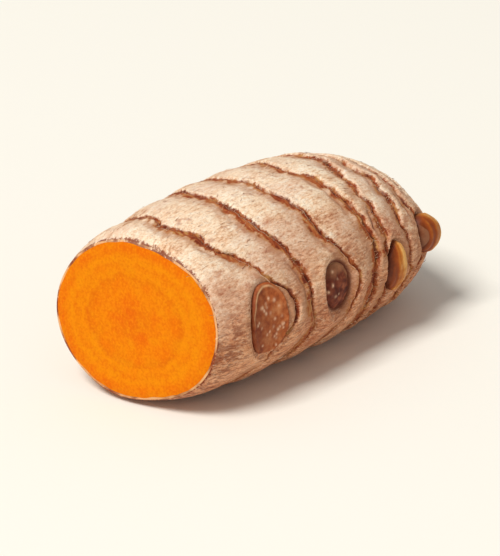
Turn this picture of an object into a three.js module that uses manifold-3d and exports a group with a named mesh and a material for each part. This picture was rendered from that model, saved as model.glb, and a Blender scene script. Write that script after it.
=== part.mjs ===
// A fresh turmeric rhizome: one finger, sliced across at its thick end, lying on its side.
// It is one solid. Leaf-scar rings run round it, and most rings have a bud or the scar of a shoot, which come
// by turns in front and behind.
// Millimetres. +X runs along the finger from the cut to the grown tip, +Z is up, and it lies on z = 0.

import * as THREE from "three";
import { mergeVertices } from "three/addons/utils/BufferGeometryUtils.js";
import Module from "manifold-3d";

// Driving dimensions of the finger.
const AXIS_LENGTH = 46.5; // from the middle of the cut to the tip
const BODY_RADIUS = 11.6; // mean radius at the thickest place
const FLATTENING = 0.09; // share by which it is wider across the bud ranks and lower over them
const AXIS_HEIGHT = 10.55; // a little less than the underside's depth, which leaves the flat spot it lies on
const LUMPINESS = 0.014; // of the section, as a share of its radius
const CUT_SLANT_FRONT = 0.15; // how far the knife's plane leans: mm of x for each mm towards the front
const CUT_SLANT_UP = 0.14; // and for each mm upwards

// The radius and the axis's rise along the finger, as (share of the length, value).
const RADIUS_PROFILE = new THREE.SplineCurve(
  [[-0.1, 0.84], [0, 0.88], [0.2, 0.97], [0.4, 1], [0.6, 0.985], [0.8, 0.9], [1, 0.75]].map(toVector2),
);
const RISE_PROFILE = new THREE.SplineCurve(
  [[-0.1, -0.6], [0, -0.4], [0.3, -0.2], [0.6, -0.45], [0.8, -1.3], [1, -2.9]].map(toVector2),
);
const END_ROUNDING_FROM = 0.7; // share of the length where the blunt end starts to close
const END_ROUNDING_POWER = 3.2; // the higher, the blunter
const LAST_ROW_RADIUS = 0.3; // at the tip, inside the terminal bud

// The leaf-scar rings: the place along the axis over the top, and how much further on each is at the sides.
const RINGS = [
  { at: 5.7, lean: 3.5 },
  { at: 13.2, lean: 3.4 },
  { at: 19.4, lean: 2.6 },
  { at: 26.7, lean: 2 },
  { at: 32.3, lean: -1.6 },
  { at: 35, lean: 0.3 },
  { at: 38.2, lean: 0.2 },
  { at: 41.3, lean: 0.4 },
  { at: 43.6, lean: 0.2 },
];
const RING_WAVE = 0.28; // how far a ring wanders to and fro
const BOW_SHARPNESS = 0.7; // how soon a ring's bow ends on either side of its bud
const LIP_HEIGHT = 0.55; // the torn edge of the old leaf sheath, just before each ring
const LIP_WIDTH = 0.8;
const GROOVE_DEPTH = 0.45; // the line of the ring itself
const GROOVE_WIDTH = 0.45;
const INTERNODE_SWELL = 0.22; // how much fuller it is halfway between rings
const FULL_RELIEF_RADIUS = 5; // the relief fades where the tip is slimmer than this

// Buds and scars: the ring that each sits on, its angle round the axis (0 faces the front, 90 up), its half
// sizes along the axis and round it, how far its ring bows out round it, and its form.
const BUDS = [
  { ring: 0, angle: 3, along: 3.1, round: 4.3, bow: 3.9, form: "scar" },
  { ring: 1, angle: 183, along: 2.5, round: 3.3, bow: 2.6, form: "bud" },
  { ring: 2, angle: 3, along: 2.7, round: 3.3, bow: 3.4, form: "pit" },
  { ring: 3, angle: 176, along: 2.8, round: 3.8, bow: 0.5, form: "scar" },
  { ring: 5, angle: -1, along: 2, round: 3.2, bow: 0.2, form: "bud" },
  { ring: 6, angle: 184, along: 1.8, round: 2.6, bow: 0.8, form: "bud" },
  { ring: 7, angle: 11, along: 1.9, round: 2.3, bow: 0.8, form: "shoot" },
];
const BUD_CLEARANCE = 0.6; // between a bud's socket and the line of its ring
const COLLAR_HEIGHT = 0.55; // how far the skin rises round a bud
const COLLAR_SPREAD = 1.6; // how far past the bud it does so
const ROOT_DEPTH = 2.4; // how deep each bud is sunk in the body
const BUD_SIDES = 16;

// Each form as a profile from its edge to its middle: (share of the half size, height over the collar).
// The socket is cut into the skin first, so a groove is left round the bud.
const SOCKETS = {
  scar: [[1.16, 1.5], [1.02, -0.1], [0.9, -0.45], [0, -0.5]],
  pit: [[1.18, 1.5], [1.02, -0.1], [0.84, -0.8], [0, -0.85]],
  bud: [[1.16, 1.5], [1.02, -0.1], [0.92, -0.4], [0, -0.5]],
  shoot: [[1.16, 1.5], [1.02, -0.1], [0.92, -0.4], [0, -0.5]],
};
const BUD_FORMS = {
  scar: [[0.94, -0.6], [0.88, 0.1], [0.8, 0.16], [0.7, -0.12], [0.35, -0.06], [0, 0]],
  pit: [[0.72, -0.9], [0.6, -0.5], [0.4, -0.38], [0, -0.34]],
  bud: [[0.95, -0.6], [0.88, 0.3], [0.74, 0.5], [0.68, 0.42], [0.5, 0.82], [0.25, 1.02], [0, 1.08]],
  shoot: [[0.97, -0.6], [0.92, 0.7], [0.78, 1.15], [0.7, 1.05], [0.52, 1.85], [0.25, 2.25], [0, 2.35]],
};

// The terminal bud, as (radius, distance past the tip).
const TIP_BUD = [
  [0, -3], [3.1, -3], [2.9, -0.35], [2.4, 0.25], [1.8, 0.2], [1.5, 0.75], [0.8, 1.15], [0, 1.25],
];

const COLUMNS = 58; // round the body
const COLUMN_CROWDING = 0.2; // how much closer together they are along the two bud ranks
const INTERNODE_STEPS = [0, 0.06, 0.16, 0.36, 0.62, 0.83, 0.94]; // rows between two rings, as shares
const END_STEPS = [0, 0.1, 0.3, 0.5, 0.68, 0.84, 0.95, 1]; // rows from the last ring to the tip

const SKIN_COLOUR = 0xcfa283;

function toVector2([x, y]) {
  return new THREE.Vector2(x, y);
}

// The height at x of a spline through points that are listed by rising x.
function valueAt(curve, x) {
  let low = 0;
  let high = 1;
  for (let i = 0; i < 30; i++) {
    const middle = (low + high) / 2;
    if (curve.getPoint(middle).x < x) low = middle;
    else high = middle;
  }
  return curve.getPoint(low).y;
}

function bodyRadius(station) {
  const share = station / AXIS_LENGTH;
  const closing = Math.max(0, (share - END_ROUNDING_FROM) / (1 - END_ROUNDING_FROM));
  const rounding = Math.sqrt(Math.max(0, 1 - closing ** END_ROUNDING_POWER));
  return Math.max(LAST_ROW_RADIUS, BODY_RADIUS * valueAt(RADIUS_PROFILE, share) * rounding);
}

function axisHeight(station) {
  return AXIS_HEIGHT + valueAt(RISE_PROFILE, station / AXIS_LENGTH);
}

// A point on the plain body: its station along the axis and its angle round it. Faint lumps wind along it.
function plainPoint(station, angle) {
  const wind = (6 * station) / AXIS_LENGTH;
  const lumps = LUMPINESS * (Math.sin(3 * angle + 1.3 + wind) + 0.6 * Math.sin(5 * angle - 2 + 2 * wind));
  const radius = bodyRadius(station) * (1 + FLATTENING * Math.cos(2 * angle) + lumps);
  return new THREE.Vector3(
    station,
    -radius * Math.cos(angle),
    axisHeight(station) + radius * Math.sin(angle),
  );
}

// The same point raised square to the body's surface.
function bodyPoint(station, angle, height) {
  const step = 0.02;
  const ahead = Math.min(station + step, AXIS_LENGTH);
  const along = plainPoint(ahead, angle).sub(plainPoint(station - step, angle));
  const round = plainPoint(station, angle + step).sub(plainPoint(station, angle - step));
  return plainPoint(station, angle).addScaledVector(along.cross(round).normalize(), height);
}

// The angle from a to b, between minus and plus half a turn.
function turnBetween(a, b) {
  return Math.atan2(Math.sin(b - a), Math.cos(b - a));
}

// Where a ring crosses the line at this angle. It goes round the far side of the bud that sits on it.
function ringStation(index, angle) {
  const { at, lean } = RINGS[index];
  const bud = BUDS.find((each) => each.ring === index);
  const wave = Math.sin(3 * angle + 2.1 * index) + 0.6 * Math.sin(7 * angle + 4.3 * index);
  let station = at + lean * Math.cos(angle) ** 2 + RING_WAVE * wave;
  if (bud) {
    const offset = (turnBetween(THREE.MathUtils.degToRad(bud.angle), angle) * BODY_RADIUS) / bud.round;
    station += bud.bow * Math.exp(-BOW_SHARPNESS * offset * offset);
  }
  return station;
}

function budStation(bud) {
  return ringStation(bud.ring, THREE.MathUtils.degToRad(bud.angle)) - bud.along - BUD_CLEARANCE;
}

// Where the knife's plane crosses the body at this angle.
function cutStation(angle) {
  const radius = bodyRadius(0);
  return radius * (CUT_SLANT_FRONT * Math.cos(angle) + CUT_SLANT_UP * Math.sin(angle));
}

// The relief of the skin: sheath lips, ring grooves, the swell between rings and the collars round the buds.
function skinRelief(station, angle) {
  let relief = 0;
  let previous = cutStation(angle);
  for (let i = 0; i < RINGS.length; i++) {
    const ring = ringStation(i, angle);
    const before = ring - station;
    if (before >= 0) relief += LIP_HEIGHT * Math.exp(-((before / LIP_WIDTH) ** 1.5));
    relief -= GROOVE_DEPTH * Math.exp(-((before / GROOVE_WIDTH) ** 2));
    if (station > previous && station < ring) {
      relief += INTERNODE_SWELL * Math.sin((Math.PI * (station - previous)) / (ring - previous));
    }
    previous = ring;
  }
  for (const bud of BUDS) {
    const away = (station - budStation(bud)) / (bud.along + COLLAR_SPREAD);
    const turn = turnBetween(THREE.MathUtils.degToRad(bud.angle), angle);
    const offset = (turn * bodyRadius(budStation(bud))) / (bud.round + COLLAR_SPREAD);
    relief += COLLAR_HEIGHT * Math.exp(-((away * away + offset * offset) ** 2));
  }
  return relief * Math.min(1, bodyRadius(station) / FULL_RELIEF_RADIUS);
}

// The rows of the mesh follow the rings: each is a share of the way between two of them.
function meshRows() {
  const rows = [];
  for (let i = 0; i < RINGS.length; i++) {
    for (const share of INTERNODE_STEPS) rows.push({ from: i - 1, share });
  }
  for (const share of END_STEPS) rows.push({ from: RINGS.length - 1, share });
  return rows;
}

function rowStation({ from, share }, angle) {
  const start = from < 0 ? cutStation(angle) : ringStation(from, angle);
  if (from === RINGS.length - 1) return start + (AXIS_LENGTH - start) * share;
  return start + (ringStation(from + 1, angle) - start) * share;
}

// The x of the sliced end at this y and z.
function cutPlane(y, z) {
  return CUT_SLANT_FRONT * -y + CUT_SLANT_UP * (z - axisHeight(0));
}

// The shape with its seams closed, so that its vertices can be moved and it stays one shell.
function closedShell(geometry) {
  geometry.deleteAttribute("normal");
  geometry.deleteAttribute("uv");
  return mergeVertices(geometry, 1e-4);
}

// Moves every vertex to where place puts it.
function reshape(shell, place) {
  const vertices = shell.attributes.position;
  const vertex = new THREE.Vector3();
  for (let i = 0; i < vertices.count; i++) {
    const { x, y, z } = place(vertex.fromBufferAttribute(vertices, i));
    vertices.setXYZ(i, x, y, z);
  }
  return shell;
}

// A cylinder bent to the body: its height counts the rows, and its two cap centres lie on the axis.
function makeBody() {
  const rows = meshRows();
  const last = rows.length - 1;
  const shell = closedShell(new THREE.CylinderGeometry(1, 1, last, COLUMNS, last));
  return reshape(shell, (vertex) => {
    const row = Math.round(vertex.y + last / 2);
    if (Math.hypot(vertex.x, vertex.z) < 0.5) {
      const station = row === 0 ? 0 : AXIS_LENGTH;
      return new THREE.Vector3(station, 0, axisHeight(station));
    }
    const turn = Math.atan2(vertex.z, vertex.x);
    const angle = turn - COLUMN_CROWDING * Math.sin(2 * turn);
    const station = rowStation(rows[row], angle);
    const point = bodyPoint(station, angle, skinRelief(station, angle));
    if (row === 0) point.x = cutPlane(point.y, point.z);
    return point;
  });
}

// A turned shape bent to lie on the body where this bud grows.
function onBody(bud, profile) {
  const shell = closedShell(new THREE.LatheGeometry(profile.map(toVector2), BUD_SIDES));
  const middle = budStation(bud);
  const radius = bodyRadius(middle);
  return reshape(shell, (vertex) => {
    const station = middle + vertex.x * bud.along;
    const angle = THREE.MathUtils.degToRad(bud.angle) + (vertex.z * bud.round) / radius;
    return bodyPoint(station, angle, vertex.y + COLLAR_HEIGHT);
  });
}

function makeSocket(bud) {
  const [mouth, ...walls] = SOCKETS[bud.form];
  return onBody(bud, [[0, mouth[1]], mouth, ...walls]);
}

function makeBud(bud) {
  const edge = BUD_FORMS[bud.form][0][0];
  return onBody(bud, [[0, -ROOT_DEPTH], [edge, -ROOT_DEPTH], ...BUD_FORMS[bud.form]]);
}

function makeTipBud() {
  const shell = closedShell(new THREE.LatheGeometry(TIP_BUD.map(toVector2), BUD_SIDES));
  shell.rotateZ(-Math.PI / 2);
  return shell.translate(AXIS_LENGTH, 0, axisHeight(AXIS_LENGTH));
}

// The block below z = 0 that the flat spot is cut with.
function makeUnderside() {
  const size = 4 * AXIS_LENGTH;
  return closedShell(new THREE.BoxGeometry(size, size, size).translate(0, 0, -size / 2));
}

function toSolid(wasm, geometry) {
  const mesh = new wasm.Mesh({
    numProp: 3,
    vertProperties: new Float32Array(geometry.attributes.position.array),
    triVerts: new Uint32Array(geometry.index.array),
  });
  const solid = new wasm.Manifold(mesh);
  if (solid.volume() > 0) return solid;
  for (let i = 0; i < mesh.triVerts.length; i += 3) {
    [mesh.triVerts[i + 1], mesh.triVerts[i + 2]] = [mesh.triVerts[i + 2], mesh.triVerts[i + 1]];
  }
  return new wasm.Manifold(mesh);
}

function toGeometry(solid) {
  const { vertProperties, triVerts } = solid.getMesh();
  const geometry = new THREE.BufferGeometry();
  geometry.setAttribute("position", new THREE.BufferAttribute(vertProperties, 3));
  geometry.setIndex(new THREE.BufferAttribute(triVerts, 1));
  geometry.computeVertexNormals();
  return geometry;
}

const wasm = await Module();
wasm.setup();

let finger = toSolid(wasm, makeBody()).add(toSolid(wasm, makeTipBud()));
for (const bud of BUDS) {
  finger = finger.subtract(toSolid(wasm, makeSocket(bud))).add(toSolid(wasm, makeBud(bud)));
}
finger = finger.subtract(toSolid(wasm, makeUnderside()));

const rhizome = new THREE.Mesh(
  toGeometry(finger),
  new THREE.MeshStandardMaterial({ color: SKIN_COLOUR, roughness: 0.75, metalness: 0 }),
);
rhizome.name = "rhizome";

// The origin is under the middle of the finger's box, on the surface that it lies on.
rhizome.geometry.computeBoundingBox();
const middle = rhizome.geometry.boundingBox.getCenter(new THREE.Vector3());
rhizome.position.set(-middle.x, -middle.y, 0);

const part = new THREE.Group();
part.add(rhizome);

export default part;
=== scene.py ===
import itertools
import math

import bmesh
import bpy
import numpy as np
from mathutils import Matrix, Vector


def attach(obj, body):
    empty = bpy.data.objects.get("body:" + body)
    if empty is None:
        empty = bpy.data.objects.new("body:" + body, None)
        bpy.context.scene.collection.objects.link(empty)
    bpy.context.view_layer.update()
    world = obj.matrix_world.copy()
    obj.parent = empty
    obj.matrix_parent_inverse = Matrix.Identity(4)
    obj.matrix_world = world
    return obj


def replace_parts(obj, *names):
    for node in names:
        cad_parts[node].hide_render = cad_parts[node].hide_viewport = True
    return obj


# A fresh turmeric finger, sliced across at its thick end: ringed skin, cut flesh, buds, shoot scars and the
# papery remains of its leaf sheaths. Shapes are worked out in millimetres. A point on the finger has a
# station along its axis from the cut's middle, an angle round the axis, and a height over the plain body.

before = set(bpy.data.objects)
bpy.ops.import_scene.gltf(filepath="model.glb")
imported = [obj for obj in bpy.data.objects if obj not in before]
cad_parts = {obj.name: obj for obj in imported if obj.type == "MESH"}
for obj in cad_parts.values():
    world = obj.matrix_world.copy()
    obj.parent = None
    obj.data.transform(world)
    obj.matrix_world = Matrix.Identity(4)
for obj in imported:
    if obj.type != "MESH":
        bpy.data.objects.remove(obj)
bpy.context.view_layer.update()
MM = 0.001

# The finger's driving dimensions, as in its solid. The profiles give the radius as a share of the full one,
# and the rise of the axis, at shares of its length.
AXIS_LENGTH = 46.5
BODY_RADIUS = 11.6
FLATTENING = 0.09
AXIS_HEIGHT = 10.55
LUMPINESS = 0.014
LUMP_WIND = 6
CUT_SLANT_FRONT = 0.15
CUT_SLANT_UP = 0.14
RADIUS_PROFILE = [(-0.1, 0.84), (0, 0.88), (0.2, 0.97), (0.4, 1), (0.6, 0.985), (0.8, 0.9), (1, 0.75)]
RISE_PROFILE = [(-0.1, -0.6), (0, -0.4), (0.3, -0.2), (0.6, -0.45), (0.8, -1.3), (1, -2.9)]
END_ROUNDING_FROM = 0.7
END_ROUNDING_POWER = 3.2
LAST_ROW_RADIUS = 0.3

# The steps over which slopes are taken, and the steepest slope that counts for lengths along the skin.
SLOPE_STEP = 0.05
NORMAL_STEP = 0.02
MOST_SLOPE = 3

# The leaf-scar rings: the place along the axis over the top, and how much further on each is at the sides.
# Later ones stand close together, and some of those tore off more unevenly than the rest.
RINGS = [
    (5.7, 3.5), (13.2, 3.4), (19.4, 2.6), (26.7, 2),
    (32.3, -1.6), (35, 0.3), (38.2, 0.2), (41.3, 0.4), (43.6, 0.2),
]
CLOSE_RINGS_FROM = 4
UNEVEN_RINGS = (4, 5, 6)
UNEVENNESS = 1.5
RING_WAVE = 0.28
TORN_EDGE_WANDER = 0.28
BOW_SHARPNESS = 0.7

# The skin's relief: the lip that ends at each ring, the crack just past it, the lower lip beyond the crack,
# the short folds before the lip, and the swell between two rings.
LIP_HEIGHT = 0.4
LIP_WIDTH = 0.8
CRACK_DEPTH = 0.36
CRACK_PLACE = 0.2
CRACK_BEFORE = 0.3
CRACK_AFTER = 0.34
FAR_LIP_HEIGHT = 0.16
FAR_LIP_PLACE = 0.5
FAR_LIP_WIDTH = 0.35
FOLD_PLACE = 1.1
FOLD_WANDER = 0.4
FOLD_WIDTH = 0.22
FOLD_DEPTH = 0.16
FOLD_LENGTH = 4
CLOSE_FOLD_DEPTH = 0.384
CLOSE_FOLD_LENGTH = 2.4
INTERNODE_SWELL = 0.52
SWELL_LEAN = 0.75
FULL_RELIEF_RADIUS = 5

# The skin's fine roughness: the height of each pattern, a shift that sets it apart from the others, and its
# size along the finger, across it and up.
FINE_RELIEF = [
    (0.045, 0, (2.4, 0.45, 0.45)),
    (0.027, 50, (1.1, 0.24, 0.24)),
    (0.035, 0, (0.7, 3.2, 3.2)),
    (0.1, 0, (3.6, 3.6, 3.6)),
]
FULL_ROUGHNESS_RADIUS = 6

# Buds and scars: ring, angle round the axis, half sizes along it and round it, the ring's bow, and the form.
BUDS = [
    dict(ring=0, angle=3, along=3.1, round=4.3, bow=3.9, form="scar"),
    dict(ring=1, angle=183, along=2.5, round=3.3, bow=2.6, form="bud"),
    dict(ring=2, angle=3, along=2.7, round=3.3, bow=3.4, form="pit"),
    dict(ring=3, angle=176, along=2.8, round=3.8, bow=0.5, form="scar"),
    dict(ring=5, angle=-1, along=2, round=3.2, bow=0.2, form="bud"),
    dict(ring=6, angle=184, along=1.8, round=2.6, bow=0.8, form="bud"),
    dict(ring=7, angle=11, along=1.9, round=2.3, bow=0.8, form="shoot"),
]
GROWING_FORMS = ("bud", "shoot")
BUD_CLEARANCE = 0.6
BUD_LEAN = 0.2
COLLAR_HEIGHT = 0.55
COLLAR_SPREAD = 1.6

# The sockets that buds and scars sit in: shares of the half size, and heights over the collar. Past its last
# share a socket leaves the skin as it is.
BUD_SOCKET = [(0, -0.5), (0.92, -0.4), (1.02, -0.1), (1.22, 0.5), (1.5, 1.5)]
SOCKETS = {
    "scar": [(0, -0.5), (0.9, -0.45), (1.02, -0.1), (1.22, 0.5), (1.5, 1.5)],
    "pit": [(0, -0.85), (0.84, -0.8), (1.04, -0.15), (1.28, 0.5), (1.6, 1.5)],
    "bud": BUD_SOCKET,
    "shoot": BUD_SOCKET,
}
NO_SOCKET = 99

# The turned forms, from the foot up: radius and height. A bud's radius is a share of its half sizes.
BUD_FORMS = {
    "scar": [
        (0.99, -1), (0.99, -0.35), (0.96, 0), (0.9, 0.12),
        (0.83, 0.05), (0.74, -0.14), (0.4, -0.26), (0, -0.28),
    ],
    "pit": [
        (0.9, -1.3), (0.88, -0.75), (0.75, -0.6), (0.6, -0.46),
        (0.4, -0.36), (0.2, -0.34), (0, -0.34),
    ],
    "bud": [
        (0.99, -1), (0.98, -0.2), (0.92, 0.2), (0.8, 0.45),
        (0.62, 0.7), (0.4, 0.9), (0.2, 1.02), (0, 1.08),
    ],
    "shoot": [
        (0.97, -1), (0.96, 0), (0.9, 0.6), (0.8, 0.95),
        (0.7, 1.2), (0.52, 1.65), (0.25, 1.98), (0, 2.06),
    ],
}
TIP_BUD = [(3.1, -3), (3.05, -1), (2.9, -0.3), (2.4, 0.22), (1.8, 0.2), (1.5, 0.72), (0.8, 1.12), (0, 1.25)]
TIP_BUD_LENGTH = 1.25
TURNED_SIDES = 20
TURNED_SMOOTHING = 3

# The pale dots of a scar: how many each form has, how wide they are, and how far out and round they lie.
DOT_COUNTS = {"scar": 30, "pit": 6}
DOT_WIDTHS = (0.11, 0.19)
DOT_REACH = 0.74
DOT_OFFSET = -0.12

# How finely the skin is drawn: columns round it, and rows from the cut to the first ring, between rings and
# from the last ring to the tip. They add up to SKIN_ROWS, which is two rounds of SKIN_CUTS cuts. Columns
# crowd at the sides, where the buds are, and rows crowd at the rings.
SKIN_COLUMNS = 300
COLUMN_CROWDING = 0.2
INTERNODE_ROWS = [34, 38, 36, 37, 24, 20, 20, 22, 20, 38]
ROW_CROWDING = 0.45
SKIN_CUTS = 16
SKIN_ROWS = (SKIN_CUTS + 1) ** 2

# The materials need no distance from a ring that is longer than this.
LONGEST_DISTANCE = 4

# The cut face: how finely it is drawn, how thick the skin round it and its disc are, how far it bulges past
# the knife's plane, and where the shallow line round its core runs, as a share of the way out.
FACE_COLUMNS = 180
FACE_RINGS = 36
SKIN_THICKNESS = 0.24
FACE_THICKNESS = 0.6
FACE_BULGE = 0.09
FACE_CLEARANCE = 0.02
CORE_EDGE = 0.62
CORE_LINE_WIDTH = 0.02
CORE_LINE_DEPTH = 0.03

# The sheath strips: how far before the ring they are held, half their thickness, and how deep they lie under
# the skin where nothing is left of the sheath.
SHEATH_COLUMNS = 480
SHEATH_HOLD = 0.4
SHEATH_HALF_THICKNESS = 0.04
SHEATH_SUNK = 0.4

# The fibres: how many, the share of them that hangs at the rings, how far before a ring those start, and how
# long, thick and raised they are. Those that would cross a socket are sunk under the skin.
FIBRE_COUNT = 2600
FIBRES_AT_RINGS = 0.6
FIBRE_STARTS = (0.1, 0.5)
FIBRE_LENGTHS = (0.35, 1.3)
FIBRE_THICKNESSES = (0.02, 0.045)
FIBRE_LIFTS = (0, 0.05)
RING_FIBRE_LIFTS = (0, 0.09)
FIBRE_TURN = 0.35
FIBRE_SUNK = 1.0


# Numbers and noise

def spline(knots):
    """A smooth curve through knots listed by rising x, as a function that gives y at x."""
    knots = np.array(knots, float)
    ends = np.vstack([knots[:1], knots, knots[-1:]])
    t = np.linspace(0, 1, 40, endpoint=False)[:, None]
    stretches = []
    for before, start, end, after in zip(ends, ends[1:], ends[2:], ends[3:]):
        leave = (end - before) / 2
        arrive = (after - start) / 2
        cubic = 2 * start - 2 * end + leave + arrive
        square = -3 * start + 3 * end - 2 * leave - arrive
        stretches.append(cubic * t**3 + square * t**2 + leave * t + start)
    curve = np.vstack([*stretches, knots[-1:]])
    return lambda x: np.interp(x, curve[:, 0], curve[:, 1])


def lattice(x, y, z):
    """A fixed random number from -1 to 1 for each point of a lattice of whole numbers."""
    mixed = (x * 73856093 ^ y * 19349663 ^ z * 83492791) & 0xFFFFFFFF
    mixed = (mixed ^ (mixed >> 15)) * 2246822519 & 0xFFFFFFFF
    mixed = (mixed ^ (mixed >> 13)) * 3266489917 & 0xFFFFFFFF
    mixed = mixed ^ (mixed >> 16)
    return (mixed & 0xFFFF) / 32767.5 - 1


def grain(points, cell):
    """Smooth noise from -1 to 1 with lumps of the size cell, which may be one size or one for each axis."""
    scaled = points / np.asarray(cell, float)
    corner = np.floor(scaled).astype(np.int64)
    ease = scaled - corner
    ease = ease * ease * (3 - 2 * ease)
    total = np.zeros(len(points))
    for step in itertools.product((0, 1), repeat=3):
        weight = np.prod(np.where(step, ease, 1 - ease), axis=1)
        total += weight * lattice(*(corner + step).T)
    return total


def smooth_step(low, high, value):
    """Rises smoothly from 0 at low to 1 at high."""
    share = np.clip((value - low) / (high - low), 0, 1)
    return share * share * (3 - 2 * share)


def hill(away, width):
    """A smooth hill that is 1 in its middle and dies away beyond this half width."""
    return np.exp(-((away / width) ** 2))


def girdle(angle, radius=BODY_RADIUS, layer=0):
    """Points on a hoop round the finger, to read noise at. Each layer gives other noise."""
    return radius * np.stack([np.cos(angle), np.sin(angle), np.full_like(angle, layer)], axis=1)


# The finger's form

radius_share = spline(RADIUS_PROFILE)
rise = spline(RISE_PROFILE)


def body_radius(station):
    """The plain body's radius, which closes in a rounded end."""
    share = station / AXIS_LENGTH
    closing = np.clip((share - END_ROUNDING_FROM) / (1 - END_ROUNDING_FROM), 0, 1)
    rounding = np.sqrt(1 - closing**END_ROUNDING_POWER)
    return np.maximum(LAST_ROW_RADIUS, BODY_RADIUS * radius_share(share) * rounding)


def skin_stretch(station):
    """How much longer the skin is than the axis below it, where the finger rounds off."""
    change = body_radius(station + SLOPE_STEP) - body_radius(station - SLOPE_STEP)
    slope = change / (2 * SLOPE_STEP)
    return np.sqrt(1 + np.minimum(slope**2, MOST_SLOPE**2))


def axis_height(station):
    """The height of the finger's axis over the floor."""
    return AXIS_HEIGHT + rise(station / AXIS_LENGTH)


def plain_point(station, angle):
    """Points on the plain body, from their station along the axis and their angle round it."""
    wind = LUMP_WIND * station / AXIS_LENGTH
    lumps = LUMPINESS * (np.sin(3 * angle + 1.3 + wind) + 0.6 * np.sin(5 * angle - 2 + 2 * wind))
    radius = body_radius(station) * (1 + FLATTENING * np.cos(2 * angle) + lumps)
    return np.stack([station, -radius * np.cos(angle), axis_height(station) + radius * np.sin(angle)], axis=1)


def body_point(station, angle, height):
    """The same points raised square to the body's surface."""
    ahead = plain_point(np.minimum(station + NORMAL_STEP, AXIS_LENGTH), angle)
    along = ahead - plain_point(station - NORMAL_STEP, angle)
    across = plain_point(station, angle + NORMAL_STEP) - plain_point(station, angle - NORMAL_STEP)
    normal = np.cross(along, across)
    normal /= np.linalg.norm(normal, axis=1, keepdims=True)
    return plain_point(station, angle) + normal * height[:, None]


def turn_between(start, end):
    """The turn from one angle to another, the short way round."""
    return np.arctan2(np.sin(end - start), np.cos(end - start))


def ring_station(index, angle, torn=True):
    """Where a ring crosses the line at this angle. Torn, its edge wanders as the old leaf tore off it."""
    at, lean = RINGS[index]
    wave = np.sin(3 * angle + 2.1 * index) + 0.6 * np.sin(7 * angle + 4.3 * index)
    station = at + lean * np.cos(angle) ** 2 + RING_WAVE * wave
    for bud in BUDS:
        if bud["ring"] == index:
            offset = turn_between(math.radians(bud["angle"]), angle) * BODY_RADIUS / bud["round"]
            station = station + bud["bow"] * np.exp(-BOW_SHARPNESS * offset**2)
    if torn:
        around = girdle(angle, layer=5 * index)
        wander = TORN_EDGE_WANDER * (UNEVENNESS if index in UNEVEN_RINGS else 1)
        station = station + wander * (np.tanh(3 * grain(around, 2.1)) + 0.8 * grain(around, 0.8))
        station = station + 0.5 * TORN_EDGE_WANDER * grain(around, 0.35)
    return station


def bud_station(bud):
    """The station of a bud's middle: it sits just before its ring."""
    angle = np.array([math.radians(bud["angle"])])
    return ring_station(bud["ring"], angle, torn=False)[0] - bud["along"] - BUD_CLEARANCE


def cut_station(angle):
    """Where the slanting cut crosses the line at this angle."""
    return body_radius(0) * (CUT_SLANT_FRONT * np.cos(angle) + CUT_SLANT_UP * np.sin(angle))


def cut_plane(y, z):
    """The x of the sliced end."""
    return CUT_SLANT_FRONT * -y + CUT_SLANT_UP * (z - axis_height(0))


def share_of_bud(bud, station, angle, spread=0):
    """How far out from a bud's middle a point is, as a share of the bud's half size."""
    away = (station - bud_station(bud)) / (bud["along"] + spread)
    turn = turn_between(math.radians(bud["angle"]), angle)
    offset = turn * body_radius(bud_station(bud)) / (bud["round"] + spread)
    return np.hypot(away, offset)


def near_buds(station, angle, full, none):
    """1 up to the first share of any bud's half size, falling to 0 at the second."""
    near = np.zeros_like(station)
    for bud in BUDS:
        near = np.maximum(near, 1 - smooth_step(full, none, share_of_bud(bud, station, angle)))
    return near


def fold_share(index, before, around):
    """How much of a short fold is at points this far before a ring. Folds come and go round the finger."""
    length = CLOSE_FOLD_LENGTH if index >= CLOSE_RINGS_FROM else FOLD_LENGTH
    there = smooth_step(-0.1, 0.5, grain(around + 13 * index, length))
    place = FOLD_PLACE + FOLD_WANDER * grain(around + 11 * index, 2.7)
    return there * hill(before - place, FOLD_WIDTH)


def skin_relief(station, angle):
    """The height of the skin over the plain body: lips, cracks, folds, swells, collars and sockets."""
    around = girdle(angle)
    relief = np.zeros_like(station)
    stretch = skin_stretch(station)
    previous = cut_station(angle)
    for index in range(len(RINGS)):
        ring = ring_station(index, angle)
        before = (ring - station) * stretch
        ragged = 0.8 + 0.4 * grain(around + 31 * index, 1.6) + 0.15 * grain(around + 31 * index, 0.6)
        lip = LIP_HEIGHT * ragged * np.exp(-((np.abs(before) / LIP_WIDTH) ** 1.5))
        relief += np.where(before >= -1e-6, lip, 0)
        open_crack = 0.6 + 0.4 * np.tanh(2.5 * grain(around + 47 * index, 3.2) + 0.3)
        past = -before - CRACK_PLACE
        relief -= CRACK_DEPTH * open_crack * hill(past, np.where(past < 0, CRACK_BEFORE, CRACK_AFTER))
        relief += FAR_LIP_HEIGHT * ragged * hill(past - FAR_LIP_PLACE, FAR_LIP_WIDTH)
        fold_depth = CLOSE_FOLD_DEPTH if index >= CLOSE_RINGS_FROM else FOLD_DEPTH
        relief -= fold_depth * fold_share(index, before, around)
        inside = (station > previous) & (station < ring)
        share = np.clip((station - previous) / (ring - previous), 0, 1)
        relief += np.where(inside, INTERNODE_SWELL * np.sin(math.pi * share**SWELL_LEAN), 0)
        previous = ring
    for bud in BUDS:
        relief += COLLAR_HEIGHT * np.exp(-(share_of_bud(bud, station, angle, COLLAR_SPREAD) ** 4))
    for bud in BUDS:
        shares, heights = zip(*SOCKETS[bud["form"]])
        socket = np.interp(share_of_bud(bud, station, angle), shares, heights, right=NO_SOCKET)
        relief = np.minimum(relief, COLLAR_HEIGHT + socket)
    return relief * np.minimum(1, body_radius(station) / FULL_RELIEF_RADIUS)


# Modelling

tip_vertex = max((v.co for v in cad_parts["rhizome"].data.vertices), key=lambda co: co.x)
FRAME_SHIFT = np.array([tip_vertex.x / MM - AXIS_LENGTH - TIP_BUD_LENGTH, tip_vertex.y / MM, 0])


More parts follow.
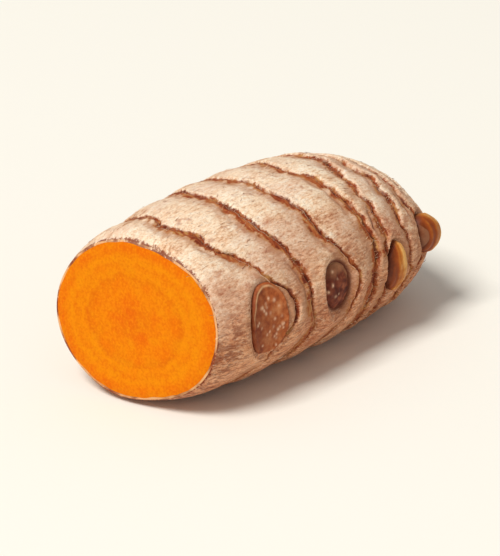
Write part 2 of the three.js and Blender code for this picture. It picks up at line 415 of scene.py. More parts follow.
def places(piece):
    """The piece's vertices as an array."""
    flat = np.empty(3 * len(piece.data.vertices))
    piece.data.vertices.foreach_get("co", flat)
    return flat.reshape(-1, 3)


def put(piece, points):
    """Moves the piece's vertices to points given in millimetres from the cut's middle."""
    settled = points + FRAME_SHIFT
    settled[:, 2] = np.maximum(settled[:, 2], 0)
    piece.data.vertices.foreach_set("co", (settled * MM).ravel())
    piece.data.update()


def remember(piece, name, values):
    """Keeps a number for every vertex, for the materials to read."""
    attribute = piece.data.attributes.new(name, "FLOAT", "POINT")
    attribute.data.foreach_set("value", np.asarray(values, np.float32))


def started(add, name, **settings):
    """A new primitive, alone selected and in edit mode."""
    bpy.ops.object.select_all(action="DESELECT")
    add(**settings)
    piece = bpy.context.object
    piece.name = name
    piece.data.name = name
    bpy.ops.object.mode_set(mode="EDIT")
    return piece


def finished(piece, material, smooth_angle=40):
    """Leaves edit mode, points the faces out, shades the piece and ties it to the finger."""
    if bpy.context.mode == "EDIT_MESH":
        bpy.ops.object.mode_set(mode="OBJECT")
    bpy.ops.object.select_all(action="DESELECT")
    piece.select_set(True)
    bpy.context.view_layer.objects.active = piece
    bpy.ops.object.mode_set(mode="EDIT")
    bpy.ops.mesh.select_all(action="SELECT")
    bpy.ops.mesh.normals_make_consistent(inside=False)
    bpy.ops.object.mode_set(mode="OBJECT")
    bpy.ops.object.shade_smooth_by_angle(angle=math.radians(smooth_angle))
    piece.data.materials.clear()
    piece.data.materials.append(material)
    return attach(piece, "root")


def copied(piece, name):
    """A copy of a piece, with a mesh of its own."""
    bpy.ops.object.select_all(action="DESELECT")
    piece.select_set(True)
    bpy.context.view_layer.objects.active = piece
    bpy.ops.object.duplicate(linked=False)
    copy = bpy.context.object
    copy.name = name
    copy.data.name = name
    return copy


def select_edges(piece, wanted):
    """Selects the edges of the piece in edit mode for which wanted(start, end) is true."""
    mesh = bmesh.from_edit_mesh(piece.data)
    bpy.ops.mesh.select_mode(type="EDGE")
    for edge in mesh.edges:
        edge.select_set(wanted(edge.verts[0].co, edge.verts[1].co))
    bmesh.update_edit_mesh(piece.data)


def make_skin(material):
    """The whole outside: a cylinder cut into rows and reshaped, with every row following the rings."""
    piece = started(
        bpy.ops.mesh.primitive_cylinder_add, "skin",
        vertices=SKIN_COLUMNS, radius=1, depth=1, end_fill_type="TRIFAN",
    )
    for length in (1, 1 / (SKIN_CUTS + 1)):
        select_edges(piece, lambda start, end: abs(start.z - end.z) > 0.9 * length)
        bpy.ops.mesh.subdivide(number_cuts=SKIN_CUTS)
    bpy.ops.object.mode_set(mode="OBJECT")

    grid = places(piece)
    row = np.rint((grid[:, 2] + 0.5) * SKIN_ROWS).astype(int)
    centre = np.hypot(grid[:, 0], grid[:, 1]) < 0.5
    turn = np.arctan2(grid[:, 1], grid[:, 0])
    angle = turn - COLUMN_CROWDING * np.sin(2 * turn)

    # Each row lies at a share of the way from one ring to the next. The last rows crowd at the tip.
    first_rows = np.cumsum([0, *INTERNODE_ROWS])
    internode = np.minimum(np.searchsorted(first_rows, row, side="right") - 1, len(RINGS))
    share = (row - first_rows[internode]) / np.array(INTERNODE_ROWS)[internode]
    crowded = share - ROW_CROWDING * np.sin(2 * math.pi * share) / (2 * math.pi)
    share = np.where(internode == len(RINGS), 1 - (1 - share) ** 2, crowded)
    edges = [cut_station(angle), *(ring_station(i, angle) for i in range(len(RINGS)))]
    edges = np.stack([*edges, np.full_like(angle, AXIS_LENGTH)])
    columns = np.arange(len(angle))
    start = edges[internode, columns]
    end = edges[internode + 1, columns]
    station = start + (end - start) * share
    from_cut = station - edges[0]

    relief = skin_relief(station, angle)
    rough = body_point(station, angle, relief)
    fine = np.zeros_like(station)
    for height, shift, size in FINE_RELIEF:
        fine += height * grain(rough + shift, size)
    fine *= (1 - near_buds(station, angle, 0.9, 1.1)) * smooth_step(0, 0.5, from_cut)
    fine *= np.minimum(1, body_radius(station) / FULL_ROUGHNESS_RADIUS)
    points = body_point(station, angle, relief + fine)
    points[row == 0, 0] = cut_plane(points[row == 0, 1], points[row == 0, 2])
    for end_row, at in ((0, 0), (SKIN_ROWS, AXIS_LENGTH)):
        points[centre & (row == end_row)] = (at, 0, axis_height(at))
    put(piece, points)

    # What the skin's material follows: distances from the rings and the cut, folds, and buds near by.
    stretch = skin_stretch(station)
    past_ring = np.where(internode > 0, (station - start) * stretch, LONGEST_DISTANCE)
    to_ring = np.where(internode < len(RINGS), (end - station) * stretch, LONGEST_DISTANCE)
    around = girdle(angle)
    folded = [fold_share(i, (edges[i + 1] - station) * stretch, around) for i in range(len(RINGS))]
    wide_folds = np.max(folded[:CLOSE_RINGS_FROM], axis=0)
    close_folds = np.max(folded[CLOSE_RINGS_FROM:], axis=0)
    remember(piece, "after_ring", np.minimum(past_ring, LONGEST_DISTANCE))
    remember(piece, "before_ring", np.minimum(to_ring, LONGEST_DISTANCE))
    remember(piece, "from_cut", np.where(centre, 0, from_cut))
    remember(piece, "folded", np.maximum(0.4 * wide_folds, close_folds))
    remember(piece, "in_socket", near_buds(station, angle, 0.86, 0.98))
    remember(piece, "near_bud", near_buds(station, angle, 1.25, 1.75))
    # Which way the skin faces, for the painted highlight on top and the painted shade low down.
    remember(piece, "upward", np.sin(angle))
    # The share of the way along each internode, for the painted shade that darkens it toward its next ring.
    remember(piece, "internode_share", np.where((internode > 0) & (internode < len(RINGS)), share, 0.3))
    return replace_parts(finished(piece, material, 60), "rhizome")


def make_cut_face(material):
    """The sliced flesh: a disc inset into rings of faces, laid in the knife's plane inside the skin."""
    piece = started(
        bpy.ops.mesh.primitive_circle_add, "cut_face", vertices=FACE_COLUMNS, radius=1, fill_type="NGON",
    )
    for _ in range(FACE_RINGS):
        bpy.ops.mesh.inset(thickness=0.98 / FACE_RINGS)
    bpy.ops.object.mode_set(mode="OBJECT")
    disc = places(piece)
    share = np.hypot(disc[:, 0], disc[:, 1])
    angle = np.arctan2(disc[:, 1], disc[:, 0])
    edge = body_point(cut_station(angle), angle, skin_relief(cut_station(angle), angle))
    middle = np.array([0, 0, axis_height(0)])
    reach = np.linalg.norm((edge - middle)[:, 1:], axis=1)
    inner = share * (1 - SKIN_THICKNESS * (1 + 0.35 * grain(edge, 1.2)) / reach)
    points = middle + (edge - middle) * inner[:, None]
    points[:, 0] = cut_plane(points[:, 1], points[:, 2])
    bulge = FACE_BULGE * (1 - smooth_step(0.93, 1, share)) + FACE_CLEARANCE
    grit = 0.018 * grain(points, 0.45) + 0.012 * grain(points, 1.4)
    core_line = CORE_LINE_DEPTH * hill(share - CORE_EDGE, CORE_LINE_WIDTH)
    points[:, 0] -= bulge + (grit - core_line) * (share < 0.97)
    put(piece, points)
    remember(piece, "outward", share)
    thick = piece.modifiers.new("thickness", "SOLIDIFY")
    thick.thickness = FACE_THICKNESS * MM
    thick.offset = -1
    bpy.ops.object.modifier_apply(modifier=thick.name)
    return finished(piece, material)


def lathed(name, profile):
    """A closed turned shape of radius and height pairs: a disc extruded and scaled up its profile, closed at
    the foot and smoothed."""
    (radius, height), *steps = profile
    piece = started(
        bpy.ops.mesh.primitive_circle_add, name,
        vertices=TURNED_SIDES, radius=radius, fill_type="NGON", location=(0, 0, height),
    )
    for next_radius, next_height in steps[:-1]:
        up = (0, 0, next_height - height)
        bpy.ops.mesh.extrude_region_move(TRANSFORM_OT_translate={"value": up})
        scale = next_radius / radius
        bpy.ops.transform.resize(value=(scale, scale, 1), center_override=(0, 0, next_height))
        radius, height = next_radius, next_height
    up = (0, 0, steps[-1][1] - height)
    bpy.ops.mesh.extrude_region_move(TRANSFORM_OT_translate={"value": up})
    bpy.ops.mesh.merge(type="CENTER")
    bpy.ops.mesh.select_all(action="DESELECT")
    bpy.ops.mesh.select_mode(type="EDGE")
    bpy.ops.mesh.select_non_manifold()
    bpy.ops.mesh.edge_face_add()
    bpy.ops.mesh.select_all(action="SELECT")
    bpy.ops.mesh.normals_make_consistent(inside=False)
    bpy.ops.object.mode_set(mode="OBJECT")
    bpy.ops.object.transform_apply(location=True)
    smooth = piece.modifiers.new("smooth", "SUBSURF")
    smooth.levels = TURNED_SMOOTHING
    smooth.render_levels = TURNED_SMOOTHING
    bpy.ops.object.modifier_apply(modifier=smooth.name)
    return piece


def bud_surface(bud, number, shape, sized):
    """A bud's streaks, the older scale round part of a shoot, and the height of ribs, lumps and keel."""
    rough = sized + 17 * number
    edge = shape[:, 0] + 0.3 * shape[:, 1] ** 2 + 0.12 * grain(rough, 0.9) + 0.7
    wrapped = (1 - smooth_step(-0.03, 0.03, edge)) * (bud["form"] == "shoot")
    streaks = grain(rough, (0.3, 2.6, 5)) + 0.5 * grain(rough, (0.16, 1.2, 5))
    keel = 0.14 * hill(shape[:, 0] - 0.15, 0.2) * (np.hypot(shape[:, 0], shape[:, 1]) < 0.85)
    height = 0.1 * wrapped + 0.05 * streaks + 0.06 * grain(rough, 0.7) + keel
    return {"speck": np.zeros(len(shape)), "vein": streaks, "wrapped": wrapped}, height


def scar_surface(bud, number, shape, sized):
    """A scar's pale dots, where its veins ended, the lighter flap in a pit, and the height of its lumps."""
    rough = sized + 17 * number
    in_pit = float(bud["form"] == "pit")
    dots = np.zeros(len(shape))
    draws = np.random.default_rng(40 + number)
    for _ in range(DOT_COUNTS[bud["form"]]):
        toward = draws.uniform(0, 2 * math.pi)
        out = DOT_REACH * math.sqrt(draws.uniform(0, 1))
        at = np.array([out * math.cos(toward), out * math.sin(toward) + DOT_OFFSET])
        width = draws.uniform(*DOT_WIDTHS)
        gap = np.hypot(*(sized[:, :2] - at * (bud["along"], bud["round"])).T)
        dots = np.maximum(dots, draws.uniform(0.3, 1) * hill(gap, width))
    flap = smooth_step(0.15, 0.6, shape[:, 1] + 0.25 * grain(rough, 0.8)) * in_pit
    height = 0.12 * grain(rough, 0.9) + 0.06 * grain(rough, 0.35) + 0.08 * dots
    return {"speck": dots, "vein": flap, "wrapped": np.full(len(shape), in_pit)}, height


def lay_bud(piece, number, bud, material):
    """Lays one bud or scar on the body in its socket, with its own small lumps."""
    shape = places(piece)
    bearing = np.arctan2(shape[:, 1], shape[:, 0])
    shape[:, :2] *= (0.97 + 0.05 * grain(girdle(bearing, 1, 3 * number), 0.8))[:, None]
    share = np.hypot(shape[:, 0], shape[:, 1])
    sized = shape * (bud["along"], bud["round"], 1)
    growing = bud["form"] in GROWING_FORMS
    surface = bud_surface if growing else scar_surface
    looks, height = surface(bud, number, shape, sized)
    if bud["form"] != "pit":
        height = height * smooth_step(-0.4, -0.1, shape[:, 2])
    middle = bud_station(bud)
    lean = BUD_LEAN * np.maximum(shape[:, 2], 0) * growing
    pointed = 1 - 0.5 * shape[:, 1] ** 2 * (bud["form"] == "bud")
    station = middle + sized[:, 0] * pointed + lean
    angle = math.radians(bud["angle"]) + sized[:, 1] / body_radius(middle)
    put(piece, body_point(station, angle, shape[:, 2] + COLLAR_HEIGHT + height))
    remember(piece, "outward", share)
    # Where a point lies from the cut side to the tip side: it sets the painted shade and highlight of buds
    # and scars.
    remember(piece, "toward_tip", shape[:, 0])
    for name, values in looks.items():
        remember(piece, name, values)
    # A painted highlight on one side of the raised rim, which the scar material reads.
    remember(piece, "rim", 0.75 * hill(share - 0.84, 0.025) * smooth_step(0.3, 0.9, np.cos(bearing - 2.0)))
    return finished(piece, material)


def make_tip_bud(material):
    """The bud that ends the finger: a wrinkled outer scale, open to one side, round an amber point."""
    piece = lathed("tip_bud", TIP_BUD)
    shape = places(piece)
    bearing = np.arctan2(shape[:, 1], shape[:, 0])
    out = np.hypot(shape[:, 0], shape[:, 1])
    around = girdle(bearing, 1)
    uneven = 1 + 0.09 * grain(2 * around, 1.4) * smooth_step(0.3, 1.5, out) * (shape[:, 2] > -0.5)
    points = np.stack([
        AXIS_LENGTH + shape[:, 2], -shape[:, 0] * uneven, axis_height(AXIS_LENGTH) + shape[:, 1] * uneven,
    ], axis=1)
    folds = grain(np.stack([7 * np.cos(bearing), 7 * np.sin(bearing), 0.6 * out], axis=1), 0.9)
    scale_edge = out + 0.35 * np.cos(bearing - 0.8) + 0.12 * grain(3 * around, 0.9)
    inner_scale = smooth_step(0.75, 0.82, out - 0.4 * np.cos(bearing + 1.4))
    height = 0.14 * folds * smooth_step(0.7, 2, out) + 0.12 * grain(points, 0.8) + 0.05 * inner_scale
    points[:, 0] += np.where(out < 2.95, height, 0) * (shape[:, 2] > -0.6) * smooth_step(0, 0.2, out)
    put(piece, points)
    remember(piece, "outward", np.where(out > 2.5, 0.8 + 0.2 * smooth_step(2.6, 3, out), 0.5))
    # Its place on the bud colour ramp, with that ramp's painted highlight and shade.
    remember(piece, "toward_tip", 0.5 - out / 3 - 0.2 * inner_scale + 0.25 * grain(points, (3, 0.6, 1.4)))
    remember(piece, "vein", folds)
    remember(piece, "wrapped", smooth_step(1.75, 1.85, scale_edge))
    return finished(piece, material)


def lay_sheath(piece, index, material):
    """What is left of one leaf sheath: a torn papery strip held at its ring's lip, curling up in places."""
    band = places(piece)
    angle = np.arctan2(band[:, 1], band[:, 0])
    section = np.arctan2(band[:, 2], np.hypot(band[:, 0], band[:, 1]) - 1)
    across = (1 - np.cos(section)) / 2
    around = girdle(angle, layer=9 * index)
    left = smooth_step(0.4, 0.7, grain(around, 3.6) + 0.5 * grain(around, 1.1))
    teeth = grain(around, 0.5) + 0.7 * grain(around, 0.25)
    ring = ring_station(index, angle)
    held = ring - SHEATH_HOLD
    free = ring + left * (0.05 + 0.2 * teeth) - 0.1
    station = held + across * (free - held)
    lip = skin_relief(ring - 0.12, angle)
    curl = 0.02 + 0.1 * left * smooth_step(-0.3, 0.8, grain(around + 70, 1.6))
    height = (1 - across) * (skin_relief(held, angle) - 0.06) + across * (lip + curl)
    height += SHEATH_HALF_THICKNESS * np.sin(section) * (1 - 0.6 * across) - SHEATH_SUNK * (1 - left)
    put(piece, body_point(np.minimum(station, AXIS_LENGTH - 0.1), angle, height))
    remember(piece, "outward", across)
    return finished(piece, material)


def make_fibres(material):
    """Short dry fibres left by the leaf sheaths: one thin spike copied, each copy laid along the skin."""
    piece = started(
        bpy.ops.mesh.primitive_cone_add, "fibres",
        vertices=3, radius1=1, radius2=0, depth=1, end_fill_type="NGON",
    )
    select_edges(piece, lambda start, end: abs(start.z - end.z) > 0.9)
    bpy.ops.mesh.subdivide(number_cuts=2)
    bpy.ops.object.mode_set(mode="OBJECT")
    copies = piece.modifiers.new("copies", "ARRAY")
    copies.count = FIBRE_COUNT
    copies.use_relative_offset = False
    bpy.ops.object.modifier_apply(modifier=copies.name)

    draws = np.random.default_rng(7)
    spike = places(piece).reshape(FIBRE_COUNT, -1, 3)
    along = spike[:, :, 2] + 0.5
    angle = draws.uniform(-math.pi, math.pi, FIBRE_COUNT)
    ring = draws.integers(0, len(RINGS), FIBRE_COUNT)
    station = draws.uniform(1.2, 0.93 * AXIS_LENGTH, FIBRE_COUNT)
    at_ring = draws.uniform(0, 1, FIBRE_COUNT) < FIBRES_AT_RINGS
    lips = np.stack([ring_station(index, angle) for index in range(len(RINGS))])[ring, np.arange(FIBRE_COUNT)]
    station = np.where(at_ring, lips - draws.uniform(*FIBRE_STARTS, FIBRE_COUNT), station)
    length = draws.uniform(*FIBRE_LENGTHS, FIBRE_COUNT)
    turn = draws.normal(0, FIBRE_TURN, FIBRE_COUNT)
    bend = draws.normal(0, FIBRE_TURN, FIBRE_COUNT)
    ring_lift = draws.uniform(*RING_FIBRE_LIFTS, FIBRE_COUNT)
    lift = np.where(at_ring, ring_lift, draws.uniform(*FIBRE_LIFTS, FIBRE_COUNT))
    thickness = draws.uniform(*FIBRE_THICKNESSES, FIBRE_COUNT)
    tone = draws.uniform(0, 1, FIBRE_COUNT)

    heading = turn[:, None] + bend[:, None] * along
    stations = station[:, None] + length[:, None] * along * np.cos(heading)
    sideways = length[:, None] * along * np.sin(heading) + thickness[:, None] * spike[:, :, 0]
    angles = (angle[:, None] + sideways / BODY_RADIUS).ravel()
    stations = np.minimum(stations, AXIS_LENGTH - 0.2).ravel()
    raised = lift[:, None] * np.sin(2.2 * along) + thickness[:, None] * spike[:, :, 1]
    in_socket = near_buds(stations, angles, 1, 1.3).reshape(along.shape)
    sunk = FIBRE_SUNK * (in_socket.max(axis=1, keepdims=True) > 0.2)
    heights = skin_relief(stations, angles) + (raised - sunk).ravel() + 0.02
    put(piece, body_point(stations, angles, heights))
    remember(piece, "tone", np.repeat(tone, spike.shape[1]))
    return finished(piece, material)


def main():
    """Makes every piece of the finger, then the stage."""
    materials = make_materials()
    make_skin(materials["skin"])
    make_cut_face(materials["flesh"])
    turned = {form: lathed(form, profile) for form, profile in BUD_FORMS.items()}
    for number, bud in enumerate(BUDS, 1):
        form = bud["form"]
        material = materials["bud" if form in GROWING_FORMS else "scar"]
        lay_bud(copied(turned[form], f"{form}_{number}"), number, bud, material)
    make_tip_bud(materials["bud"])
    band = started(
        bpy.ops.mesh.primitive_torus_add, "band",
        major_segments=SHEATH_COLUMNS, minor_segments=6, major_radius=1, minor_radius=0.25,
    )
    bpy.ops.object.mode_set(mode="OBJECT")
    for index in range(len(RINGS) - 1):
        lay_sheath(copied(band, f"sheath_{index + 1}"), index, materials["sheath"])
    for pattern in (*turned.values(), band):
        bpy.data.objects.remove(pattern)
    make_fibres(materials["fibre"])
    make_stage()


# Materials

def linear(colour):
    """Linear red, green, blue and alpha from an sRGB hex value."""
    channels = [(colour >> shift & 255) / 255 for shift in (16, 8, 0)]
    return (*(c / 12.92 if c <= 0.04045 else ((c + 0.055) / 1.055) ** 2.4 for c in channels), 1)


def add_node(tree, kind, inputs=None, stops=None, output=0, **settings):
    """Adds a node with its settings, ramp stops and inputs, and gives the output asked for. An input is a
    number, a colour as a hex value or another node's output."""
    node = tree.nodes.new("ShaderNode" + kind)
    for name, value in settings.items():
        setattr(node, name, value)
    for place, (position, colour) in enumerate(stops or ()):
        ramp = node.color_ramp.elements
        element = ramp[place] if place < 2 else ramp.new(position)
        element.position = position
        element.color = linear(colour)
    for name, value in (inputs or {}).items():
        socket = node.inputs[name]
        if isinstance(value, bpy.types.NodeSocket):
            tree.links.new(value, socket)
        elif socket.type == "RGBA":
            socket.default_value = linear(value)
        else:
            socket.default_value = value
    return node.outputs[output] if node.outputs else node


def new_material(name):
    """A material with an empty node tree."""
    material = bpy.data.materials.new(name)
    material.use_nodes = True
    tree = material.node_tree
    tree.nodes.clear()
    return material, tree


def skin_material():
    """Turmeric skin: thin cork that grew and dried. The eye sees a matt cream-beige coat of short flattened
    fuzz, with rust-brown ragged bands where the leaves tore off. A painted highlight lightens its top, and
    painted shade browns it low down, toward each internode's far end, in the folds and in the cracks."""
    material, tree = new_material("dry turmeric skin")
    at = add_node(tree, "TexCoord", output="Object")
    kept = {}
    for name in (
        "before_ring", "after_ring", "from_cut", "near_bud", "in_socket", "upward", "internode_share", "folded",
    ):
        kept[name] = add_node(tree, "Attribute", output="Fac", attribute_name=name)

    # Each pattern's size along the finger and across it in millimetres. Real fuzz is under 0.1 mm across: it
    # is drawn coarser here, so that it shows in a picture with eight pixels to the millimetre.
    grown = {}
    for number, (name, along, across, detail) in enumerate((
        ("patches", 5.5, 3.5, 2.0),
        ("fuzz", 1.1, 0.34, 4.0),
        ("fine_fuzz", 0.42, 0.17, 3.0),
        ("specks", 0.3, 0.24, 2.0),
        ("wrinkles", 0.7, 0.4, 3.0),
        ("streaks", 1.5, 0.32, 3.0),
        ("bruises", 2.2, 0.6, 4.0),
        ("pale_hairs", 1.2, 0.22, 2.0),
        ("blush", 9.0, 7.0, 2.0),
        ("rust", 2.8, 1.9, 5.0),
        ("torn", 0.9, 0.16, 3.0),
        ("jagged", 0.7, 0.6, 3.0),
        ("breadth", 2.4, 2.4, 2.0),
        ("strands", 0.3, 1.8, 3.0),
        ("stain", 2.2, 1.6, 2.0),
        ("coverage", 3.4, 3.4, 3.0),
        ("gaping", 3.0, 3.0, 2.0),
    )):
        scale = (1 / along / MM, 1 / across / MM, 1 / across / MM)
        spread = add_node(tree, "Mapping", {"Vector": at, "Scale": scale, "Location": (9.0 * number,) * 3})
        settings = {"Vector": spread, "Scale": 1.0, "Detail": detail, "Roughness": 0.6}
        grown[name] = add_node(tree, "TexNoise", settings)

    # The fuzz's tone, lifted where the skin faces up: a painted highlight on top.
    raised = add_node(tree, "Math", {
        0: grown["patches"], 1: 0.9, 2: kept["upward"],
    }, operation="MULTIPLY_ADD")
    tone = add_node(tree, "MapRange", {
        "Value": raised, "From Min": 0.95, "From Max": 1.4, "To Max": 0.065,
    })
    for pattern, share in (("fuzz", 0.42), ("fine_fuzz", 0.33), ("patches", 0.25)):
        tone = add_node(tree, "Math", {0: grown[pattern], 1: share, 2: tone}, operation="MULTIPLY_ADD")
    colour = add_node(tree, "ValToRGB", {"Fac": tone}, stops=[
        (0.36, 0xA8704A), (0.43, 0xD2A07A), (0.5, 0xECC6A2), (0.57, 0xF8DDBE), (0.68, 0xFFF2DC),
    ])

    # How far inside the rust-brown band before each ring a point is, in millimetres, with both edges ragged.
    ragged = add_node(tree, "Math", {0: grown["torn"], 1: 0.9, 2: -1.05}, operation="MULTIPLY_ADD")
    ragged = add_node(tree, "Math", {0: grown["jagged"], 1: 1.2, 2: ragged}, operation="MULTIPLY_ADD")
    after = add_node(tree, "Math", {0: ragged, 1: -0.5, 2: kept["after_ring"]}, operation="MULTIPLY_ADD")
    width = 1.0
    for value, low, high, least, most in (
        (grown["breadth"], 0.35, 0.65, 0.35, 1.1),
        (kept["near_bud"], 0.0, 1.0, 1.0, 0.1),
        (kept["from_cut"], 24.0, 36.0, 1.0, 0.55),
    ):
        share = add_node(tree, "MapRange", {
            "Value": value, "From Min": low, "From Max": high, "To Min": least, "To Max": most,
        })
        width = add_node(tree, "Math", {0: share, 1: width}, operation="MULTIPLY")
    inside = add_node(tree, "Math", {0: kept["before_ring"], 1: ragged}, operation="SUBTRACT")
    inside = add_node(tree, "Math", {0: inside, 1: width}, operation="SUBTRACT")

    # Where each stain or painted shade shows: what it follows, from nothing at the first number to its share
    # at the second.
    # How far along its internode a point is, with patches: the painted shade before each ring follows it.
    old = add_node(tree, "Math", {0: grown["patches"], 1: 0.4, 2: kept["internode_share"]}, operation="MULTIPLY_ADD")
    trimmed = add_node(tree, "Math", {0: ragged, 1: 1.0, 2: kept["from_cut"]}, operation="MULTIPLY_ADD")
    net = add_node(tree, "Math", {0: grown["wrinkles"], 1: 0.5}, operation="SUBTRACT")
    net = add_node(tree, "Math", {0: net}, operation="ABSOLUTE")
    shows = {}
    for name, value, none, full, share in (
        ("dark speck", grown["specks"], 0.6, 0.7, 0.55),
        ("pale speck", grown["specks"], 0.38, 0.3, 0.6),
        ("blush", grown["blush"], 0.45, 0.65, 0.22),
        ("internode shade", old, 0.75, 1.2, 0.15),
        # low: painted shade, darker toward the underside.
        ("low", raised, 1.3, 0.2, 0.75),
        ("wrinkle", net, 0.035, 0.0, 0.35),
        ("streak", grown["streaks"], 0.49, 0.58, 0.85),
        ("pale hair", grown["pale_hairs"], 0.44, 0.34, 0.65),
        ("bruise", grown["bruises"], 0.5, 0.56, 1.0),
        ("cut side", kept["from_cut"], 6.0, 1.5, 0.8),
        ("rust", grown["rust"], 0.58, 0.68, 0.55),
        ("halo", inside, 1.9, 0.1, 0.75),
        ("smudge", grown["breadth"], 0.25, 0.55, 1.0),
        ("amber edge", inside, 0.32, 0.05, 0.8),
        ("band before", inside, 0.1, -0.14, 1.0),
        ("band after", after, 0.6, 0.4, 1.0),
        ("covered", grown["coverage"], 0.32, 0.46, 0.45),
        # crack: where painted shade darkens the groove past each ring.
        ("crack", after, 0.4, 0.2, 0.9),
        ("gaping", grown["gaping"], 0.4, 0.56, 1.0),
        ("trimmed", trimmed, 0.3, 0.05, 0.9),
        ("rim", kept["from_cut"], 0.03, 0.0, 1.0),
        ("light rim", grown["patches"], 0.4, 0.6, 1.0),
    ):
        shows[name] = add_node(tree, "MapRange", {
            "Value": value, "From Min": none, "From Max": full, "To Max": share,
        }, interpolation_type="SMOOTHSTEP")
    band = add_node(tree, "Math", {0: shows["band before"], 1: shows["band after"]}, operation="MAXIMUM")
    covered = add_node(tree, "Math", {0: shows["covered"], 1: 0.55}, operation="ADD")
    for name, first, second in (
        ("bruise", shows["bruise"], shows["low"]),
        ("bruise", "bruise", "cut side"),
        ("band", band, covered),
        ("low streak", shows["streak"], shows["low"]),
        ("low hair", shows["pale hair"], shows["low"]),
        ("halo", shows["halo"], shows["smudge"]),
        ("open crack", shows["crack"], shows["gaping"]),
        ("rim", shows["rim"], shows["light rim"]),
    ):
        inputs = {0: shows.get(first, first), 1: shows.get(second, second)}
        shows[name] = add_node(tree, "Math", inputs, operation="MULTIPLY")
    browned = add_node(tree, "Math", {0: grown["stain"], 1: 0.4}, operation="MULTIPLY")
    browned = add_node(tree, "Math", {0: grown["strands"], 1: 0.6, 2: browned}, operation="MULTIPLY_ADD")
    band_colour = add_node(tree, "ValToRGB", {"Fac": browned}, stops=[
        (0.38, 0x6E2810), (0.46, 0x92401E), (0.54, 0xA85A2C), (0.64, 0xC08A52),
    ])
    for name, tint, blend in (
        ("dark speck", 0x94644A, "MIX"),
        ("pale speck", 0xF8E6CC, "MIX"),
        ("blush", 0xD09C8C, "MIX"),
        # Painted shade toward the far end of each internode.
        ("internode shade", 0xD09070, "MULTIPLY"),
        # The painted shade low down.
        ("low", 0xE8B28C, "MULTIPLY"),
        ("wrinkle", 0x9C6C50, "MIX"),
        ("low streak", 0x96563A, "MIX"),
        ("low hair", 0xECCCAE, "MIX"),
        ("bruise", 0x7E3C24, "MIX"),
        ("rust", 0xA4542F, "MIX"),
        ("halo", 0xB47C5A, "MIX"),
        ("amber edge", 0xB67C4A, "MIX"),
        ("band", band_colour, "MIX"),
        # Painted shade in the folds.
        ("folded", 0x8A482A, "MIX"),
        # Painted shade in the crack past each ring.
        ("open crack", 0x5A2210, "MIX"),
        ("in_socket", 0x6A3420, "MIX"),
        ("trimmed", 0x803212, "MIX"),
        ("rim", 0xE6B07A, "MIX"),
    ):
        inputs = {0: shows.get(name, kept.get(name)), 6: colour, 7: tint}
        colour = add_node(tree, "Mix", inputs, output=2, data_type="RGBA", blend_type=blend)

    heights = add_node(tree, "Math", {0: grown["specks"], 1: 0.2}, operation="MULTIPLY")
    for pattern, share in (("fuzz", 0.5), ("fine_fuzz", 0.4)):
        heights = add_node(tree, "Math", {0: grown[pattern], 1: share, 2: heights}, operation="MULTIPLY_ADD")
    bump = add_node(tree, "Bump", {"Strength": 0.8, "Distance": 0.16 * MM, "Height": heights})
    surface = add_node(tree, "BsdfPrincipled", {
        "Base Color": colour, "Roughness": 0.72, "Normal": bump, "IOR": 1.45, "Specular IOR Level": 0.25,
        "Sheen Weight": 0.06, "Sheen Roughness": 0.45, "Sheen Tint": 0xFFE6C8,
    })
    add_node(tree, "OutputMaterial", {"Surface": surface})
    return material


def flesh_material():
    """Turmeric flesh: moist and starchy, cut with a knife. The eye sees a deep even orange, a darker line
    that parts the core from the outer flesh, and fine starch grain."""
    material, tree = new_material("sliced turmeric flesh")
    at = add_node(tree, "TexCoord", output="Object")
    outward = add_node(tree, "Attribute", output="Fac", attribute_name="outward")
    # Starch grain is under 0.1 mm: it is drawn at 0.3 mm, so that it shows. The clouds are 2.8 mm, and the
    # mottle in them 0.9 mm, as in the root.
    grain_of_starch = add_node(tree, "TexNoise", {"Vector": at, "Scale": 1 / 0.3 / MM, "Detail": 2.0})
    cloud = add_node(tree, "TexNoise", {"Vector": at, "Scale": 1 / 2.8 / MM, "Detail": 3.0})
    mottle = add_node(tree, "TexNoise", {"Vector": at, "Scale": 1 / 0.9 / MM, "Detail": 2.0})
    place = add_node(tree, "Math", {0: cloud, 1: 0.2, 2: outward}, operation="MULTIPLY_ADD")
    colour = add_node(tree, "ValToRGB", {"Fac": place}, stops=[
        (0.0, 0xD85A06), (0.28, 0xDE6604), (0.46, 0xE57A02), (0.6, 0xE27402), (0.68, 0xDA7002),
        (0.74, 0xE68402), (0.83, 0xE07802), (0.9, 0xE68602), (1.0, 0xE06E02),
    ])
    for value, none, full, share, tint in (
        (cloud, 0.42, 0.62, 0.4, 0xE28A04),
        (mottle, 0.5, 0.66, 0.22, 0xE89404),
        (mottle, 0.5, 0.34, 0.16, 0xDC6202),
        (grain_of_starch, 0.5, 0.7, 0.45, 0xEE8E0C),
        (grain_of_starch, 0.5, 0.3, 0.42, 0xD25C02),
    ):
        shown = add_node(tree, "MapRange", {
            "Value": value, "From Min": none, "From Max": full, "To Max": share,
        })
        colour = add_node(tree, "Mix", {0: shown, 6: colour, 7: tint}, output=2, data_type="RGBA")
    bump = add_node(tree, "Bump", {"Strength": 0.3, "Distance": 0.06 * MM, "Height": grain_of_starch})
    surface = add_node(tree, "BsdfPrincipled", {
        "Base Color": colour, "Roughness": 0.5, "Normal": bump, "IOR": 1.4, "Specular IOR Level": 0.08,
        "Subsurface Weight": 0.1, "Subsurface Radius": (1.0, 0.4, 0.08), "Subsurface Scale": 0.8 * MM,
    })
    add_node(tree, "OutputMaterial", {"Surface": surface})
    return material


